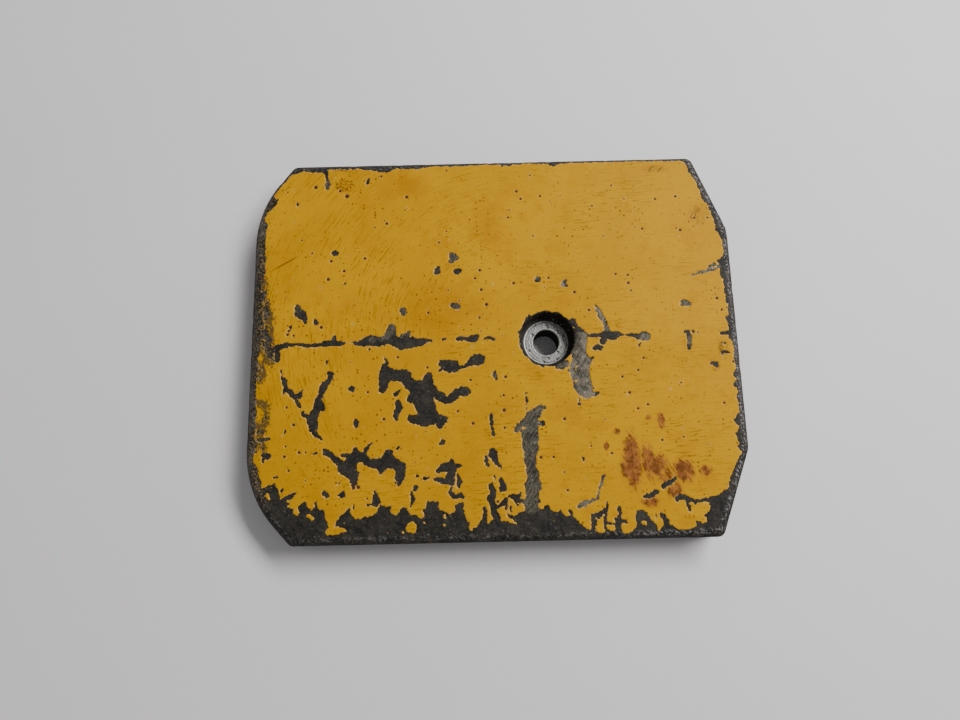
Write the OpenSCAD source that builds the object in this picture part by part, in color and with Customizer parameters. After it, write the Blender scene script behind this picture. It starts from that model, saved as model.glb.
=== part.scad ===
// Low road marker plate, held down by one anchor bolt through a pressed-in steel sleeve.
// The plate lies flat on the road: its base is at z = 0 and its box is centred on X and Y.

/* [Plate] */
// Overall length, along X
plate_l = 200; // [160:1:240]
// Overall width, along Y
plate_w = 160; // [130:1:200]
// Height at the crown, the line along X where the two halves of the top face meet
plate_t = 18; // [14:0.5:24]
// How far the top face falls from the crown to each long edge
crown_rise = 2; // [0.5:0.25:3]
// Width of the worn bevel at the crown's ends
bevel_w = 3.2; // [1:0.2:6]
// Height of the worn bevel along the long edges
bevel_h = 1.5; // [0.5:0.25:3]

/* [Corner cuts] */
// Far right corner, length taken off the long side
far_right_x = 13; // [8:0.5:30]
// Far right corner, length taken off the end
far_right_y = 33; // [20:0.5:40]
// Near right corner, length taken off the long side
near_right_x = 13; // [8:0.5:30]
// Near right corner, length taken off the end
near_right_y = 34; // [20:0.5:40]
// Far left corner, length taken off the long side
far_left_x = 15.5; // [8:0.5:30]
// Far left corner, length taken off the end
far_left_y = 19.5; // [12:0.5:30]
// Near left corner, length taken off the long side
near_left_x = 18.5; // [8:0.5:30]
// Near left corner, length taken off the end
near_left_y = 20.5; // [12:0.5:30]
// Radius that blends the left cuts into the left end
left_blend_r = 45; // [20:1:50]
// Radius that blends the right cuts into the right end
right_blend_r = 8; // [2:0.5:20]
// Radius where each cut meets a long side
side_blend_r = 3; // [1:0.5:8]

/* [Anchor hole] */
// Distance of the hole from the plate's centre, along X
hole_x = 21.5; // [0:0.5:50]
// Depth of the bolt-head recess below the crown
recess_depth = 7; // [4:0.5:9]
// Ring of recess floor left around the sleeve
recess_ledge = 1.4; // [0.6:0.1:4]

/* [Anchor sleeve] */
// Outside diameter of the sleeve
sleeve_od = 19.2; // [15:0.1:24]
// Bore of the sleeve, a clearance hole for a 10 mm anchor bolt
sleeve_id = 10.5; // [8:0.1:12.5]
// How far the sleeve is driven in below the recess floor
sleeve_sink = 0; // [0:0.1:1]
// Bevel on the sleeve's bore and outer arris
sleeve_bevel = 0.5; // [0.2:0.1:1]
// Radial clearance between the sleeve and its seat: none, because it is pressed in
seat_clearance = 0; // [0:0.01:0.1]

/* [Paint] */
// Thickness of the brushed-on coat
paint_t = 0.3; // [0.1:0.05:0.6]
// Bare margin left inside the bevel
paint_margin = 0.5; // [0.2:0.1:10]
// Bare ring left around the mouth of the recess
paint_ring = 0.5; // [0.2:0.1:5]

/* [Hidden] */
$fn = 96;
end_x = plate_l / 2;
side_y = plate_w / 2;
edge_t = plate_t - crown_rise;
floor_z = plate_t - recess_depth;
recess_r = sleeve_od / 2 + recess_ledge;
seat_r = sleeve_od / 2 + seat_clearance;
sleeve_h = floor_z - sleeve_sink;
cut_clear = 1;
arc_step = 5;

// The cut corners, counter-clockwise: each is a point of the sharp outline and its radius
corners = [
    [[end_x, near_right_y - side_y], right_blend_r],
    [[end_x, side_y - far_right_y], right_blend_r],
    [[end_x - far_right_x, side_y], side_blend_r],
    [[far_left_x - end_x, side_y], side_blend_r],
    [[-end_x, side_y - far_left_y], left_blend_r],
    [[-end_x, near_left_y - side_y], left_blend_r],
    [[near_left_x - end_x, -side_y], side_blend_r],
    [[end_x - near_right_x, -side_y], side_blend_r],
];

function unit(v) = v / norm(v);

// Arc of radius r that rounds the corner at p, between its neighbours before and after
function rounded(before, p, after, r) =
    let (
        u = unit(before - p),
        v = unit(after - p),
        half = acos(u * v) / 2,
        centre = p + unit(u + v) * r / sin(half),
        first = p + u * r / tan(half) - centre,
        turn = 180 - 2 * half,
        steps = ceil(turn / arc_step)
    )
    [for (i = [0 : steps])
        let (a = atan2(first.y, first.x) + turn * i / steps)
        centre + r * [cos(a), sin(a)]];

function outline() =
    let (n = len(corners))
    [for (i = [0 : n - 1])
        each rounded(corners[(i + n - 1) % n][0], corners[i][0], corners[(i + 1) % n][0], corners[i][1])];

// Everything under the two sloping halves of the top face, raised by lift
module under_crown(lift) {
    reach = plate_l + 2 * cut_clear;
    rotate([90, 0, 90])
        linear_extrude(reach, center = true)
            polygon([
                [-side_y, -cut_clear], [side_y, -cut_clear], [side_y, edge_t + lift],
                [0, plate_t + lift], [-side_y, edge_t + lift],
            ]);
}

// The casting: cut corners, crowned top, worn bevel, a bolt-head recess and the sleeve's seat
module marker_body() {
    color("#2c2926")
        difference() {
            intersection() {
                hull() {
                    linear_extrude(edge_t - bevel_h) polygon(outline());
                    linear_extrude(plate_t) offset(delta = -bevel_w) polygon(outline());
                }
                under_crown(0);
            }
            translate([hole_x, 0, floor_z]) cylinder(r = recess_r, h = recess_depth + cut_clear);
            translate([hole_x, 0, -cut_clear]) cylinder(r = seat_r, h = plate_t);
        }
}

// The sleeve: a turned steel bush, bevelled at both ends, pressed in flush with the base
module anchor_sleeve() {
    outer = sleeve_od / 2;
    inner = sleeve_id / 2;
    color("#a9a8a6")
        translate([hole_x, 0, 0])
            rotate_extrude()
                polygon([
                    [inner + sleeve_bevel, 0], [outer - sleeve_bevel, 0], [outer, sleeve_bevel],
                    [outer, sleeve_h - sleeve_bevel], [outer - sleeve_bevel, sleeve_h],
                    [inner + sleeve_bevel, sleeve_h], [inner, sleeve_h - sleeve_bevel],
                    [inner, sleeve_bevel],
                ]);
}

// The yellow coat: a thin skin over the flat of the top face, open around the recess
module paint_coat() {
    color("#d09e1e")
        difference() {
            intersection() {
                linear_extrude(plate_t + cut_clear)
                    offset(delta = -(bevel_w + paint_margin)) polygon(outline());
                under_crown(paint_t);
            }
            under_crown(0);
            translate([hole_x, 0, 0]) cylinder(r = recess_r + paint_ring, h = plate_t + cut_clear);
        }
}

marker_body();
anchor_sleeve();
paint_coat();
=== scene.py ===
import math

import bpy
import numpy as np
from mathutils import Matrix, Vector
from mathutils.geometry import delaunay_2d_cdt


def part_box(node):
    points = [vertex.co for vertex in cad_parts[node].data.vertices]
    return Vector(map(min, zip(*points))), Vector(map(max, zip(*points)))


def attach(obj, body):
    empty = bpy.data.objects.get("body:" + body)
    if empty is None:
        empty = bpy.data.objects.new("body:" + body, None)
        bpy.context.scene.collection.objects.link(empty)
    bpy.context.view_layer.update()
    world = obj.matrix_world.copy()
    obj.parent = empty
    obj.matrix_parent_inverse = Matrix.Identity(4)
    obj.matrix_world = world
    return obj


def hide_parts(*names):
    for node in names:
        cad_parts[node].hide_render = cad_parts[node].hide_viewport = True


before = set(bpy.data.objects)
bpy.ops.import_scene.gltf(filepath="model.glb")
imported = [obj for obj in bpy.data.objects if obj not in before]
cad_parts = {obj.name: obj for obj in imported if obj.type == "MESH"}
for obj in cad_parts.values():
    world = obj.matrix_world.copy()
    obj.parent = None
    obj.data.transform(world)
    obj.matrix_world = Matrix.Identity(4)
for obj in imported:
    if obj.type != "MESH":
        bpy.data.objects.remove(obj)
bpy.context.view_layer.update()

MM = 0.001  # the frame is in metres, and every size below is in millimetres

# ---------------------------------------------------------------------------
# The camera: held over the near half of the plate, a hand's turn off square,
# and tilted a little towards the far side.
# ---------------------------------------------------------------------------
CAMERA_AT = Vector((-6.1, -70.5, 303.0))
CAMERA_TILT = math.radians(12.3)
CAMERA_ROLL = math.radians(-1.3)

camera_data = bpy.data.cameras.new("camera")
camera_data.sensor_width = 36.0
camera_data.lens = 27.04
camera_data.clip_start = 0.01
camera = bpy.data.objects.new("camera", camera_data)
bpy.context.scene.collection.objects.link(camera)
camera.matrix_world = (
    Matrix.Translation(CAMERA_AT * MM)
    @ Matrix.Rotation(CAMERA_TILT, 4, "X")
    @ Matrix.Rotation(CAMERA_ROLL, 4, "Z")
)
bpy.context.scene.camera = camera


# ---------------------------------------------------------------------------
# The table: a pale, dull laminate top under soft light from the far right.
# ---------------------------------------------------------------------------
class Wire:
    """A socket in a material's node tree. Sums on it add Math nodes, and node() adds any other."""

    def __init__(self, tree, socket=None):
        self.tree = tree
        self.socket = socket

    def node(self, kind, settings=None, sockets=None, out=0):
        made = self.tree.nodes.new(kind)
        for name, value in (settings or {}).items():
            if name == "stops":
                ramp = made.color_ramp.elements
                while len(ramp) < len(value):
                    ramp.new(0.5)
                for stop, (place, colour) in zip(ramp, value):
                    stop.position = place
                    stop.color = (*colour, 1)
            else:
                setattr(made, name, value)
        for key, value in (sockets or {}).items():
            if isinstance(value, Wire):
                self.tree.links.new(value.socket, made.inputs[key])
            else:
                made.inputs[key].default_value = value
        return Wire(self.tree, made.outputs[out])

    def sum(self, operation, *terms):
        return self.node("ShaderNodeMath", {"operation": operation}, dict(enumerate(terms)))

    def __add__(self, other):
        return self.sum("ADD", self, other)

    __radd__ = __add__

    def __sub__(self, other):
        return self.sum("SUBTRACT", self, other)

    def __rsub__(self, other):
        return self.sum("SUBTRACT", other, self)

    def __mul__(self, other):
        return self.sum("MULTIPLY", self, other)

    __rmul__ = __mul__

    def __truediv__(self, other):
        return self.sum("DIVIDE", self, other)

    def __rtruediv__(self, other):
        return self.sum("DIVIDE", other, self)

    def top(self, other):
        return self.sum("MAXIMUM", self, other)

    def ease(self, low, high):
        """0 at low and 1 at high, with soft ends."""
        soft = {"interpolation_type": "SMOOTHSTEP"}
        return self.node("ShaderNodeMapRange", soft, {0: self, 1: low, 2: high})

    def tint(self, low, high):
        """The colour low where this is 0 and high where it is 1."""
        low, high = [c if isinstance(c, Wire) else (*c, 1) for c in (low, high)]
        return self.node("ShaderNodeMix", {"data_type": "RGBA"}, {0: self, 6: low, 7: high}, out=2)


def finish_named(name):
    """A new material with its shader, and the place on the object in millimetres."""
    material = bpy.data.materials.new(name)
    material.use_nodes = True
    tree = material.node_tree
    shader = tree.nodes["Principled BSDF"]
    place = Wire(tree).node("ShaderNodeTexCoord", out=3)
    place = place.node("ShaderNodeVectorMath", {"operation": "SCALE"}, {0: place, "Scale": 1 / MM})
    return material, shader, place


def plug(shader, **sockets):
    """Sets the shader's sockets, such as Base_Color, to wires or to plain values."""
    for name, value in sockets.items():
        socket = shader.inputs[name.replace("_", " ")]
        if isinstance(value, Wire):
            value.tree.links.new(value.socket, socket)
        else:
            socket.default_value = value


def clouds(place, size, detail=3.0, stretch=(1, 1, 1), turn=0.0, shift=0.0, rough=0.55):
    """Noise around 0.5 with blots about size across, drawn out along x by stretch and turned."""
    turned = place.node(
        "ShaderNodeMapping",
        {"vector_type": "TEXTURE"},
        {0: place, 1: (shift, shift, shift), 2: (0, 0, math.radians(turn)), 3: stretch},
    )
    return place.node(
        "ShaderNodeTexNoise", {}, {"Vector": turned, "Scale": 1 / size, "Detail": detail, "Roughness": rough}
    )


def specks(place, spacing, radius, shift=0.0):
    """1 in small round spots, which lie about spacing apart and differ in size."""
    moved = place.node("ShaderNodeMapping", {}, {0: place, 1: (shift, shift, shift)})
    cells = {"Vector": moved, "Scale": 1 / spacing}
    away = place.node("ShaderNodeTexVoronoi", {}, cells)
    chance = place.node("ShaderNodeTexVoronoi", {}, cells, out=1)
    share = place.node("ShaderNodeSeparateColor", {}, {0: chance})
    reach = share * share * (radius / spacing)
    return 1 - (away / reach).ease(0.7, 1.1)


TABLE_HALF = 1500.0
table_mesh = bpy.data.meshes.new("table")
table_mesh.from_pydata(
    [(x * TABLE_HALF * MM, y * TABLE_HALF * MM, 0) for x, y in ((-1, -1), (1, -1), (1, 1), (-1, 1))],
    [],
    [(0, 1, 2, 3)],
)
table = bpy.data.objects.new("table", table_mesh)
bpy.context.scene.collection.objects.link(table)
material, shader, place = finish_named("table_laminate")
worn = clouds(place, 90, 4)
pale = worn.tint((0.82, 0.80, 0.81), (0.87, 0.85, 0.865))
plug(shader, Base_Color=pale, Roughness=0.6, Specular_IOR_Level=0.2)
table_mesh.materials.append(material)

WINDOW_WAY = Vector((0.62, 0.42, 0.86))
WINDOW_AWAY = 1150.0
WINDOW_WIDE = 900.0
WINDOW_HIGH = 330.0
key_data = bpy.data.lights.new("window", "AREA")
key_data.shape = "RECTANGLE"
key_data.size = WINDOW_WIDE * MM
key_data.size_y = WINDOW_HIGH * MM
key_data.energy = 16.5
key_data.color = (1.0, 0.985, 0.97)
key = bpy.data.objects.new("window", key_data)
bpy.context.scene.collection.objects.link(key)
key.location = WINDOW_WAY.normalized() * WINDOW_AWAY * MM
key.rotation_mode = "QUATERNION"
key.rotation_quaternion = WINDOW_WAY.to_track_quat("Z", "Y")

room = bpy.data.worlds.new("room")
room.use_nodes = True
room.node_tree.nodes["Background"].inputs["Color"].default_value = (0.84, 0.84, 0.83, 1)
room.node_tree.nodes["Background"].inputs["Strength"].default_value = 0.31
bpy.context.scene.world = room


# ---------------------------------------------------------------------------
# The casting: one heavy iron plate with cut corners. Its top rises to a low
# crown along the middle, and its arrises are worn to a bevel. It is still
# black with scale and old base coat, and scraped to grey metal in places.
# ---------------------------------------------------------------------------
low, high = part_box("marker_body")
END_X, SIDE_Y, CROWN_Z = [value / MM for value in high]
CROWN_RISE = 2.0
CROWN_SOFT = 2.0
EDGE_Z = CROWN_Z - CROWN_RISE
BEVEL_W = 3.2
BEVEL_H = 1.5
BEVEL_FOOT_Z = EDGE_Z - BEVEL_H
BEVEL_SLOPE = (CROWN_Z - BEVEL_FOOT_Z) / BEVEL_W
HOLE_X = 21.5
RECESS_R = 11.0
SEAT_R = 9.6
FLOOR_Z = 11.0
# The points of the sharp outline, counter-clockwise, and the radius that rounds each one
CORNERS = [
    ((END_X, 34 - SIDE_Y), 8),
    ((END_X, SIDE_Y - 33), 8),
    ((END_X - 13, SIDE_Y), 3),
    ((15.5 - END_X, SIDE_Y), 3),
    ((-END_X, SIDE_Y - 19.5), 45),
    ((-END_X, 20.5 - SIDE_Y), 45),
    ((18.5 - END_X, -SIDE_Y), 3),
    ((END_X - 13, -SIDE_Y), 3),
]


def unit(vector):
    return vector / np.linalg.norm(vector)


def corner_arcs():
    """For each corner its arc's centre, radius, start angle and turn."""
    points = [np.array(point, float) for point, radius in CORNERS]
    arcs = []
    for i, (point, radius) in enumerate(CORNERS):
        back = unit(points[i - 1] - points[i])
        on = unit(points[(i + 1) % len(points)] - points[i])
        half = math.acos(float(back @ on)) / 2
        centre = points[i] + unit(back + on) * radius / math.sin(half)
        first = points[i] + back * radius / math.tan(half) - centre
        arcs.append((centre, radius, math.atan2(first[1], first[0]), math.pi - 2 * half))
    return arcs


ARCS = corner_arcs()


def outline(step):
    """Points about step apart, all the way round the plate."""
    points = []
    for centre, radius, start, turn in ARCS:
        count = max(4, round(radius * turn / step))
        angles = start + turn * np.linspace(0, 1, count + 1)
        arc = centre + radius * np.stack([np.cos(angles), np.sin(angles)], 1)
        if points:
            points += list(between(points[-1], arc[0], step))
        points += list(arc)
    points += list(between(points[-1], points[0], step))
    return np.array(points)


def between(start, end, step):
    """Evenly spaced points from start to end, without the two ends."""
    count = max(1, round(np.linalg.norm(end - start) / step))
    return start + (end - start) * (np.arange(1, count) / count)[:, None]


def inside(x, y):
    """How far a point is from the plate's edge, measured inwards."""
    away = np.full(np.shape(x), 1e9)
    points = [np.array(point) for point, radius in CORNERS]
    for i, point in enumerate(points):
        along = unit(points[(i + 1) % len(points)] - point)
        away = np.minimum(away, (y - point[1]) * along[0] - (x - point[0]) * along[1])
    for centre, radius, start, turn in ARCS:
        angle = np.arctan2(y - centre[1], x - centre[0])
        in_arc = (angle - start) % (2 * math.pi) < turn
        away = np.where(in_arc, np.minimum(away, radius - np.hypot(x - centre[0], y - centre[1])), away)
    return away


def grain(x, y, cell, seed):
    """Smooth random values from -1 to 1, with one fresh value in each square of side cell."""
    values = np.random.default_rng(seed).uniform(-1, 1, (512, 512))
    u, v = x / cell, y / cell
    i, j = np.floor(u).astype(int), np.floor(v).astype(int)
    fu, fv = u - i, v - j
    fu, fv = fu * fu * (3 - 2 * fu), fv * fv * (3 - 2 * fv)
    row, next_row = i % 512, (i + 1) % 512
    column, next_column = j % 512, (j + 1) % 512
    near = values[row, column] * (1 - fu) + values[next_row, column] * fu
    far = values[row, next_column] * (1 - fu) + values[next_row, next_column] * fu
    return near * (1 - fv) + far * fv


def ease(value, low, high):
    share = np.clip((value - low) / (high - low), 0, 1)
    return share * share * (3 - 2 * share)


def crown(y):
    """Height of the unworn top face: two flats that meet in a low, softened ridge."""
    return CROWN_Z - CROWN_RISE * (np.sqrt(y * y + CROWN_SOFT**2) - CROWN_SOFT) / SIDE_Y


def lower_of(a, b, blend):
    """The lower of two heights, with the corner between them rounded over by blend."""
    share = np.clip(0.5 + 0.5 * (b - a) / blend, 0, 1)
    return b + (a - b) * share - blend * share * (1 - share)


def mouth_radius(angle):
    """Radius of the recess's ragged mouth."""
    x, y = 30 * np.cos(angle), 30 * np.sin(angle)
    ragged = 0.30 * grain(x, y, 7, 21) + 0.22 * grain(x, y, 3, 22) + 0.12 * grain(x, y, 1.4, 23)
    return RECESS_R + 0.15 + np.maximum(ragged, -0.12)


def dents(x, y, spots):
    """Depth of round-bottomed knocks, each given as x, y, radius and depth."""
    depth = np.zeros(np.shape(x))
    for spot_x, spot_y, radius, deep in spots:
        near = (np.abs(x - spot_x) < 2 * radius) & (np.abs(y - spot_y) < 2 * radius)
        away = np.hypot(x[near] - spot_x, y[near] - spot_y) / radius
        depth[near] = np.maximum(depth[near], deep * (1 - ease(away, 0.2, 1.3)))
    return depth


def edge_knocks():
    """Small knocks along the arris all round, where the plate was thrown about."""
    rng = np.random.default_rng(41)
    ring = outline(1.0)
    knocks = []
    for i in rng.choice(len(ring), 90, replace=False):
        x, y = ring[i] * rng.uniform(0.985, 1.0)
        knocks.append((x, y, rng.uniform(0.6, 2.0), rng.uniform(0.15, 0.55)))
    return knocks


def cast_pits():
    """Blow holes and rust pits, thickest along the bare near edge."""
    rng = np.random.default_rng(42)
    pits = []
    for i in range(620):
        x = rng.uniform(-92, 90)
        y = -79 + 13 * rng.uniform(0, 1) ** 1.2 if i % 3 else rng.uniform(-78, 78)
        pits.append((x, y, rng.uniform(0.3, 0.85), rng.uniform(0.08, 0.34)))
    return pits


KNOCKS = edge_knocks()
PITS = cast_pits()


def clean_height(x, y):
    """Height of the casting's upper surface without its wear: the crown, lowered by the bevel."""
    return lower_of(crown(y), BEVEL_FOOT_Z + BEVEL_SLOPE * np.maximum(inside(x, y), 0), 1.1)


def top_height(x, y):
    """Height of the casting's upper surface, with its bevel, scale, pits and knocks."""
    away = inside(x, y)
    z = clean_height(x, y)
    scale = 0.06 + 0.05 * grain(x, y, 1.7, 31) + 0.04 * grain(x, y, 0.9, 32)
    z = z - scale * ease(away, 0, 1) - dents(x, y, PITS)
    lip = np.hypot(x - HOLE_X, y)
    lip_drop = 0.45 * (1 - ease(lip - RECESS_R, 0.1, 1.3))
    return np.maximum(z - lip_drop - dents(x, y, KNOCKS), BEVEL_FOOT_Z - 0.8)


def mesh_of(name, points, faces):
    """A mesh piece from points in millimetres."""
    mesh = bpy.data.meshes.new(name)
    mesh.from_pydata((np.asarray(points) * MM).tolist(), [], faces)
    mesh.validate()
    piece = bpy.data.objects.new(name, mesh)
    bpy.context.scene.collection.objects.link(piece)
    return piece


def loop_edges(first, count):
    return [(first + i, first + (i + 1) % count) for i in range(count)]


def strip(lower, upper):
    """Quads between two closed rings of point numbers, facing outwards."""
    count = len(lower)
    return [(lower[i], lower[(i + 1) % count], upper[(i + 1) % count], upper[i]) for i in range(count)]


def jittered(step, seed):
    """A grid of points over the whole plate, each moved a little at random."""
    rng = np.random.default_rng(seed)
    x, y = np.meshgrid(np.arange(-END_X, END_X, step), np.arange(-SIDE_Y, SIDE_Y, step))
    x = x.ravel() + rng.uniform(-0.35, 0.35, x.size) * step
    y = y.ravel() + rng.uniform(-0.35, 0.35, y.size) * step
    return x, y


def casting_mesh():
    ring = outline(0.9)
    count = len(ring)
    hole_count = 150
    angles = np.arange(hole_count) * 2 * math.pi / hole_count
    around = np.stack([np.cos(angles), np.sin(angles)], 1)
    mouth_r = mouth_radius(angles)
    mouth = np.array([HOLE_X, 0]) + around * mouth_r[:, None]

    fine_x, fine_y = jittered(0.62, 51)
    away = inside(fine_x, fine_y)
    worn = (away < 4.5) | (fine_y < -66) | (np.hypot(fine_x - HOLE_X, fine_y) < 14)
    coarse_x, coarse_y = jittered(1.15, 52)
    round_hole = np.hypot(coarse_x - HOLE_X, coarse_y) < 14
    plain = ~((inside(coarse_x, coarse_y) < 4.5) | (coarse_y < -66) | round_hole)
    x = np.concatenate([fine_x[worn], coarse_x[plain]])
    y = np.concatenate([fine_y[worn], coarse_y[plain]])
    clear_of_edge = inside(x, y) > 0.35
    from_hole = np.hypot(x - HOLE_X, y) - mouth_radius(np.arctan2(y, x - HOLE_X))
    keep = clear_of_edge & (from_hole > 0.3)
    flat = np.concatenate([ring, mouth, np.stack([x[keep], y[keep]], 1)])

    edges = loop_edges(0, count) + loop_edges(count, hole_count)
    made, _, triangles, _, _, _ = delaunay_2d_cdt([Vector(p) for p in flat], edges, [], 0, 1e-5)
    flat = np.array([tuple(p) for p in made])
    triangles = np.array(triangles)
    middle = flat[triangles].mean(axis=1)
    aside, ahead = middle[:, 0] - HOLE_X, middle[:, 1]
    out = np.hypot(aside, ahead) - mouth_radius(np.arctan2(ahead, aside))
    in_ring = (triangles >= count) & (triangles < count + hole_count)
    triangles = triangles[~(in_ring.all(axis=1) & (out < 0.02))]
    points = [np.column_stack([flat, top_height(flat[:, 0], flat[:, 1])])]
    faces = [tuple(t) for t in triangles.tolist()]
    total = len(flat)

    def add_ring(xy, z):
        nonlocal total
        points.append(np.column_stack([xy, np.broadcast_to(z, len(xy))]))
        total += len(xy)
        return list(range(total - len(xy), total))

    # The side, down to a small arris round the base
    normal = np.roll(ring, -1, axis=0) - np.roll(ring, 1, axis=0)
    normal = np.stack([normal[:, 1], -normal[:, 0]], 1) / np.linalg.norm(normal, axis=1)[:, None]
    run = np.arange(count) * 0.9
    upper = list(range(count))
    top_z = points[0][:count, 2]
    for share in np.linspace(0, 1, 16)[1:]:
        z = top_z * (1 - share) + 0.6 * share
        dip = 0.10 + 0.07 * grain(run, z, 2.2, 61) + 0.05 * grain(run, z, 1.0, 62)
        lower = add_ring(ring - normal * dip[:, None], z)
        faces += strip(lower, upper)
        upper = lower
    base = add_ring(ring - normal * 0.6, 0.0)
    faces += strip(base, upper)

    # The recess's rough wall, its ledge and the sleeve's seat
    upper = list(range(count, count + hole_count))
    mouth_z = points[0][count : count + hole_count, 2]
    for share in np.linspace(0, 1, 15)[1:]:
        z = mouth_z * (1 - share) + FLOOR_Z * share
        chipped = (mouth_r - RECESS_R) * (1 - share) ** 3
        rough = 0.14 * grain(angles * 11, z, 1.3, 63) + 0.08 * grain(angles * 11, z, 0.6, 64)
        radius = RECESS_R + chipped + rough * (1 - share**4)
        lower = add_ring(np.array([HOLE_X, 0]) + around * radius[:, None], z)
        faces += strip(upper, lower)
        upper = lower
    for radius in (10.6, 10.1, SEAT_R + 0.02):
        lower = add_ring(np.array([HOLE_X, 0]) + around * radius, FLOOR_Z)
        faces += strip(upper, lower)
        upper = lower
    seat = add_ring(np.array([HOLE_X, 0]) + around * (SEAT_R + 0.02), 0.0)
    faces += strip(upper, seat)

    # The flat base, open around the sleeve
    points = np.concatenate(points)
    rim = base + seat
    edges = loop_edges(0, count) + loop_edges(count, hole_count)
    made, _, below, _, _, _ = delaunay_2d_cdt([Vector(p) for p in points[rim, :2]], edges, [], 0, 1e-5)
    for a, b, c in below:
        if min(a, b, c) < count:
            faces.append((rim[a], rim[c], rim[b]))
    return mesh_of("marker_casting", points, faces)


casting = casting_mesh()
casting.data.shade_smooth()


def brush_off(x, y, marks):
    """Distance to a set of marks. Each is a line of x, y and half-width, and it is negative inside."""
    away = np.full(np.shape(x), 1e3)
    for mark in marks:
        mark = [mark[0], *mark] if len(mark) == 1 else mark
        for (ax, ay, ar), (bx, by, br) in zip(mark, mark[1:]):
            reach = max(ar, br) + 3
            near = (
                (x > min(ax, bx) - reach) & (x < max(ax, bx) + reach)
                & (y > min(ay, by) - reach) & (y < max(ay, by) + reach)
            )
            px, py = x[near] - ax, y[near] - ay
            length = (bx - ax) ** 2 + (by - ay) ** 2
            share = np.clip((px * (bx - ax) + py * (by - ay)) / max(length, 1e-9), 0, 1)
            gap = np.hypot(px - share * (bx - ax), py - share * (by - ay)) - ar - share * (br - ar)
            away[near] = np.minimum(away[near], gap)
    return away


# Places scraped to bright metal: the drag mark below the hole, the rub beside it, and some chips
SCRAPES = [
    [(17.5, -28, 2), (14, -32, 3.5), (13, -38, 4), (13, -66, 3.5)], [(9, -35.5, 2), (7, -37.5, 1)],
    [(34.5, 0, 3), (34, -6, 4.5), (34.5, -14, 5), (35.5, -22, 4.5)], [(27, -11.5, 2.5)],
    [(-46, 1.5, 1.5), (-42, 4, 2.5), (-42, 7, 2)], [(-37.5, 2.5, 1.2), (-35, 4, 1.5)],
    [(-81, 15.5, 1.5), (-80, 14, 1.2)], [(-16.5, 36, 2.5)], [(-37.5, 12.5, 2)], [(-16, 14.5, 2.4)],
    [(18.5, 25.5, 1.3)], [(28.5, 23, 1.6)], [(60, -0.5, 2), (62, -0.5, 1.8)], [(79, -2.5, 2)],
    [(79, 13.5, 2.4)], [(41.5, 13, 1.3), (46, 3.5, 1.8)], [(83, 25.5, 1.3), (94, 29.5, 1.3)],
    [(31, -67, 1.5), (38, -64.5, 1.3), (41.5, -56, 1.3)], [(-70, 70, 2)], [(-65.5, 2, 1.4)],
    [(-49.5, 1.5, 1.6)], [(-0.5, -15, 1)],
]
# Pinholes where rust has lifted a spot of the coat: x, y and radius
PINHOLES = [
    (-84.5, 4, 0.6), (-82, 3.5, 0.5), (-84, -26, 0.5), (-67.5, 35.5, 0.6), (-62, 31, 0.6),
    (-68.5, 27.5, 0.7), (-61.5, 25.5, 0.5), (-61.5, 65, 0.9), (-64.5, 67.5, 0.6), (-47, 74, 0.5),
    (-87, 67.5, 0.4), (-75, 69.5, 0.8), (-36, 64, 0.7), (-5.5, 30, 0.6), (-7.5, 26.5, 0.5),
    (-5, 21.5, 0.6), (-3, 15, 0.7), (-6, 9.5, 0.5), (-27, 12, 0.5), (8.5, 24, 0.6), (23, 26, 0.5),
    (33.5, 19.5, 0.6), (11, 65.5, 0.6), (21, 63, 0.5), (7, 53.5, 0.5), (56, 23, 0.6), (56, 26.5, 0.5),
    (51, 27, 0.5), (63.5, 47, 0.5), (86, 51.5, 0.5), (79.5, 46, 0.6), (70, 60.5, 0.5),
    (93.5, 10.5, 0.5), (92, 15.5, 0.6), (60, -9, 0.5), (53.5, -23, 0.6), (56.5, -29.5, 0.5),
    (60.5, -28, 0.5), (57.5, -14, 0.5), (51, -16.5, 0.5), (91, -28, 0.5), (3, -29, 0.7), (3, -23, 0.5),
    (4, -15.5, 0.6), (-9.5, -34, 0.6), (-15.5, -29, 0.5), (-27.5, -11, 0.5), (-39.5, -6.5, 0.5),
    (-45, -31.5, 0.6), (-51.5, -20.5, 0.5), (3, -36, 0.5), (17, -48, 0.6), (22, -48, 0.5),
    (37, -44, 0.4), (45, -47, 0.5), (27, -61, 0.5), (27, -33, 0.6), (-78.5, -44, 0.6), (-76, -44, 0.4),
    (-55, -58, 0.7), (-51.5, -62.5, 0.4), (-84, -41.5, 0.4), (-82.5, -51, 0.5), (-81, -33, 0.6),
]


def paint_numbers(piece, name, values):
    """Stores one number for each point of the mesh, for its material to read."""
    layer = piece.data.attributes.new(name, "FLOAT", "POINT")
    layer.data.foreach_set("value", np.asarray(values, dtype=np.float32))


spots = np.array([v.co for v in casting.data.vertices]) / MM
scraped = brush_off(spots[:, 0], spots[:, 1], SCRAPES) + 0.8 * grain(spots[:, 0], spots[:, 1], 1.3, 71)
on_top = ease(spots[:, 2], FLOOR_Z + 4, FLOOR_Z + 5)
paint_numbers(casting, "scraped", (1 - ease(scraped, -0.8, 0.6)) * on_top)
rusted = brush_off(spots[:, 0], spots[:, 1], [[spot] for spot in PINHOLES])
paint_numbers(casting, "rusted", (1 - ease(rusted, 0.8, 1.8)) * on_top)
edge_gap = inside(spots[:, 0], spots[:, 1])
paint_numbers(casting, "arris", (1 - ease(edge_gap, 2.2, 3.6)) * on_top)

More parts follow.
